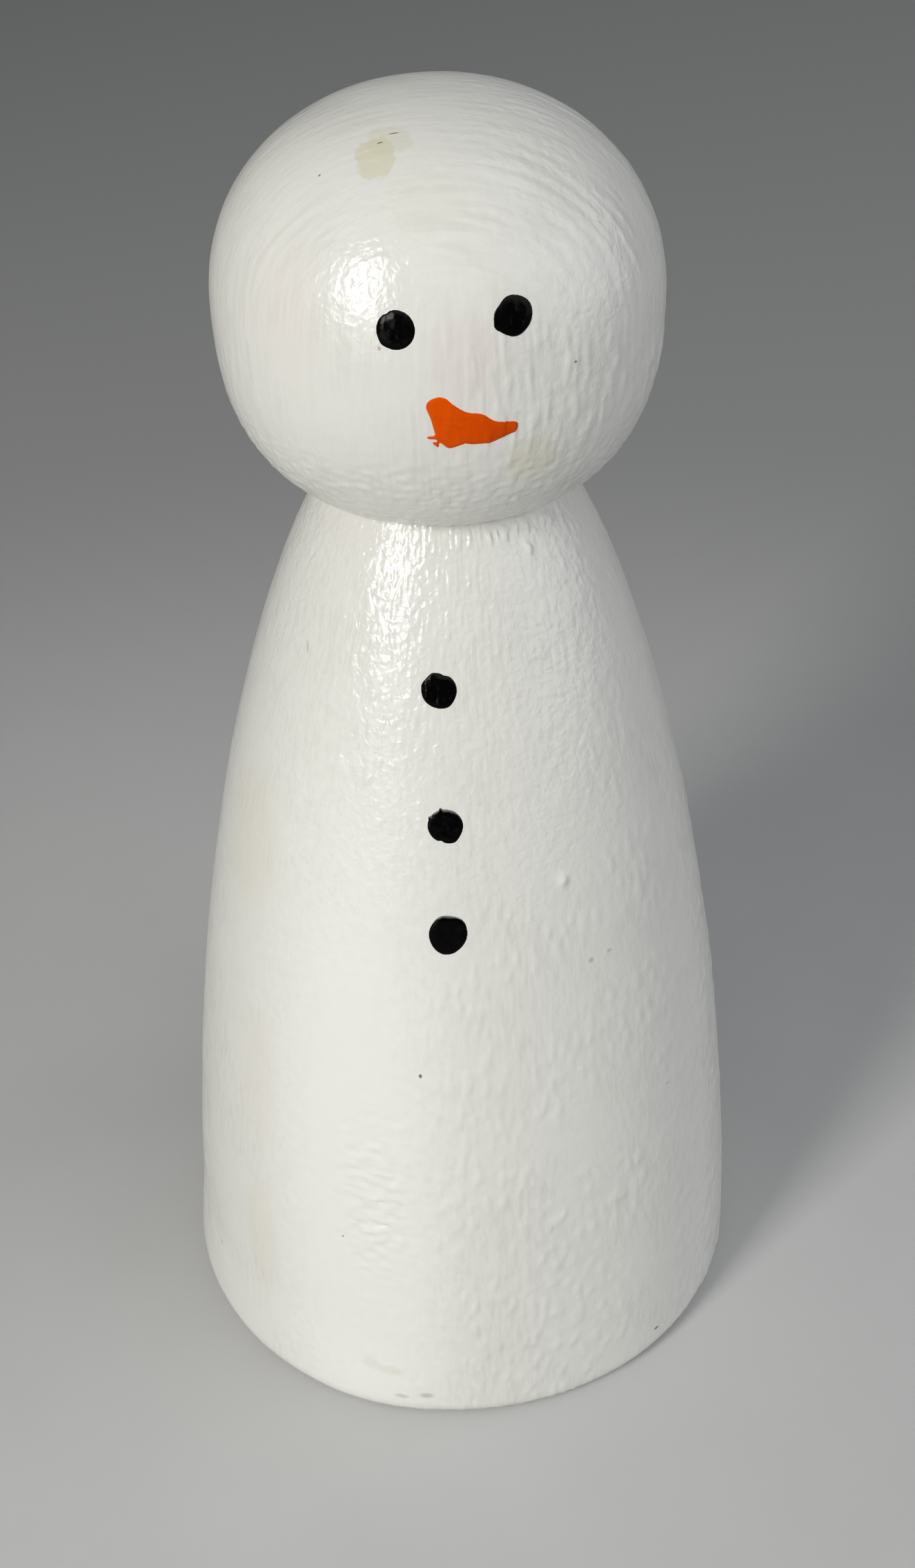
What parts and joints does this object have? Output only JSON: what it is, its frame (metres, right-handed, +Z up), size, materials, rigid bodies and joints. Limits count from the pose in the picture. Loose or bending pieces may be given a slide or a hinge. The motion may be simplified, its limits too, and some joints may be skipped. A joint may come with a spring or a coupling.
{
  "type": "wooden snowman figure",
  "caption": "Hand-painted wooden snowman figure: a bell-shaped turned body, a ball head doweled on top, and raised paint dabs for face and buttons.",
  "frame": {"origin": "middle of the flat underside", "axes": "+Z up through the body and the head, -Y the way the face and the buttons look, +X to the right of a person looking at the face"},
  "size_m": [0.0416, 0.0416, 0.09],
  "materials": {
    "white_paint": "turned wood under a hand-brushed satin off-white paint with visible brush marks",
    "black_paint": "raised dab of glossy black acrylic paint",
    "orange_paint": "raised stroke of satin orange acrylic paint",
    "bare_wood": "bare turned beech dowel"
  },
  "bodies": {
    "root": {"body": "white_paint", "head": "white_paint", "neck_dowel": "bare_wood", "left_eye": "black_paint", "right_eye": "black_paint", "carrot_nose": "orange_paint", "button_top": "black_paint", "button_middle": "black_paint", "button_bottom": "black_paint"}
  },
  "joints": []
}
